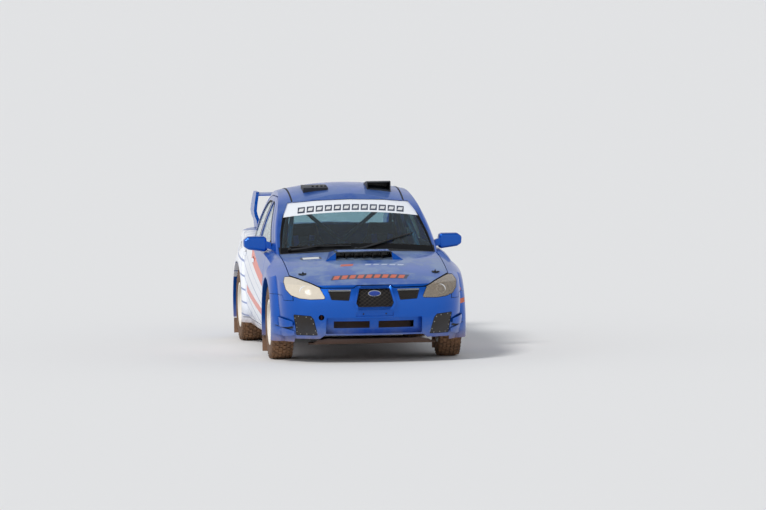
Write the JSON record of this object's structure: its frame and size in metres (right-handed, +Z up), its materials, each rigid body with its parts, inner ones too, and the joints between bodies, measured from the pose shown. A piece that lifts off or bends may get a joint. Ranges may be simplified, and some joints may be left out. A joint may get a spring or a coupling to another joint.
{
  "type": "rally car",
  "caption": "Four-door rally saloon with opening doors, bonnet and boot lid, steered front wheels, bucket seats, roll cage, bonnet scoop, roof vents and rear wing.",
  "frame": {"origin": "on the ground below the middle of the car", "axes": "+X is the car's left, the nose points to -Y and +Z is up"},
  "size_m": [1.9598, 4.4815, 1.4889],
  "materials": {
    "blue_paint": "gloss",
    "white_paint": "gloss",
    "black_plastic": "matte",
    "grey_plastic": "matte",
    "window_glass": "polished",
    "clear_lens": "polished",
    "red_lens": "gloss",
    "lamp_reflector": "polished",
    "tyre": "matte",
    "wheel_paint": "satin",
    "rubber": "matte",
    "bare_aluminium": "rough",
    "cast_iron": "rough",
    "steel": "satin",
    "cage_paint": "satin",
    "seat_fabric": "matte",
    "leather": "matte"
  },
  "bodies": {
    "car": {"front_bumper": "blue_paint", "front_grilles": "black_plastic", "lamp_covers": "grey_plastic", "headlamp_lenses": "clear_lens", "headlamp_bowls": "lamp_reflector", "front_wings": "blue_paint", "cowl": "black_plastic", "windscreen": "window_glass", "roof_panel": "blue_paint", "roof_vents": "grey_plastic", "body_sides": "white_paint", "rear_shelf": "blue_paint", "rear_window": "window_glass", "tail_lamps": "red_lens", "rear_bumper": "blue_paint", "floor_pan": "white_paint", "wheel_housings": "grey_plastic", "sump_guard": "bare_aluminium", "engine_block": "cast_iron", "radiator": "bare_aluminium", "exhaust": "steel", "dashboard": "black_plastic", "seats": "seat_fabric", "roll_cage": "cage_paint", "mud_flaps": "rubber", "front_suspension": "cast_iron", "drive_shafts": "steel", "rear_suspension": "cast_iron"},
    "bonnet": {"bonnet": "blue_paint"},
    "boot_lid": {"boot_lid": "blue_paint", "rear_wing": "blue_paint"},
    "steering_wheel": {"steering_wheel": "leather"},
    "upright_left": {"knuckle_left": "cast_iron"},
    "upright_right": {"knuckle_right": "cast_iron"},
    "door_front_left": {"door_front_left": "white_paint", "glass_front_left": "window_glass", "mirror_left": "blue_paint"},
    "door_rear_left": {"door_rear_left": "white_paint", "glass_rear_left": "window_glass"},
    "door_front_right": {"door_front_right": "white_paint", "glass_front_right": "window_glass", "mirror_right": "blue_paint"},
    "door_rear_right": {"door_rear_right": "white_paint", "glass_rear_right": "window_glass"},
    "wheel_front_left": {"tyre_front_left": "tyre", "rim_front_left": "wheel_paint"},
    "wheel_front_right": {"tyre_front_right": "tyre", "rim_front_right": "wheel_paint"},
    "wheel_rear_left": {"tyre_rear_left": "tyre", "rim_rear_left": "wheel_paint"},
    "wheel_rear_right": {"tyre_rear_right": "tyre", "rim_rear_right": "wheel_paint"}
  },
  "joints": [
    {"name": "bonnet_hinge", "type": "hinge", "parent": "car", "child": "bonnet", "pos_m": [0, -0.925, 0.9], "axis": [-1, 0, 0], "range_deg": [0, 55]},
    {"name": "boot_hinge", "type": "hinge", "parent": "car", "child": "boot_lid", "pos_m": [0, 1.57, 1.017], "axis": [1, 0, 0], "range_deg": [0, 70]},
    {"name": "steering_turn", "type": "hinge", "parent": "car", "child": "steering_wheel", "pos_m": [-0.37, -0.43, 0.8295], "axis": [0, 0.9063, 0.4226], "range_deg": [-430, 430]},
    {"name": "door_front_left_hinge", "type": "hinge", "parent": "car", "child": "door_front_left", "pos_m": [0.84, -0.725, 0.6], "axis": [0, 0, -1], "range_deg": [0, 65]},
    {"name": "door_rear_left_hinge", "type": "hinge", "parent": "car", "child": "door_rear_left", "pos_m": [0.845, 0.28, 0.6], "axis": [0, 0, -1], "range_deg": [0, 65]},
    {"name": "steer_left", "type": "hinge", "parent": "car", "child": "upright_left", "pos_m": [0.698, -1.302, 0.19], "axis": [-0.1862, 0, 0.9825], "range_deg": [-34, 34]},
    {"name": "door_front_right_hinge", "type": "hinge", "parent": "car", "child": "door_front_right", "pos_m": [-0.84, -0.725, 0.6], "axis": [0, 0, 1], "range_deg": [0, 65]},
    {"name": "door_rear_right_hinge", "type": "hinge", "parent": "car", "child": "door_rear_right", "pos_m": [-0.845, 0.28, 0.6], "axis": [0, 0, 1], "range_deg": [0, 65]},
    {"name": "steer_right", "type": "hinge", "parent": "car", "child": "upright_right", "pos_m": [-0.698, -1.302, 0.19], "axis": [0.1862, 0, 0.9825], "range_deg": [-34, 34]},
    {"name": "wheel_front_left_spin", "type": "hinge", "parent": "upright_left", "child": "wheel_front_left", "pos_m": [0.745, -1.302, 0.325], "axis": [1, 0, 0], "continuous": true},
    {"name": "wheel_front_right_spin", "type": "hinge", "parent": "upright_right", "child": "wheel_front_right", "pos_m": [-0.745, -1.302, 0.325], "axis": [1, 0, 0], "continuous": true},
    {"name": "wheel_rear_left_spin", "type": "hinge", "parent": "car", "child": "wheel_rear_left", "pos_m": [0.75, 1.238, 0.325], "axis": [1, 0, 0], "continuous": true},
    {"name": "wheel_rear_right_spin", "type": "hinge", "parent": "car", "child": "wheel_rear_right", "pos_m": [-0.75, 1.238, 0.325], "axis": [1, 0, 0], "continuous": true}
  ],
  "couplings": [
    {"joint": "steer_left", "follows": "steering_turn", "ratio": 0.076923},
    {"joint": "steer_right", "follows": "steering_turn", "ratio": 0.076923}
  ]
}
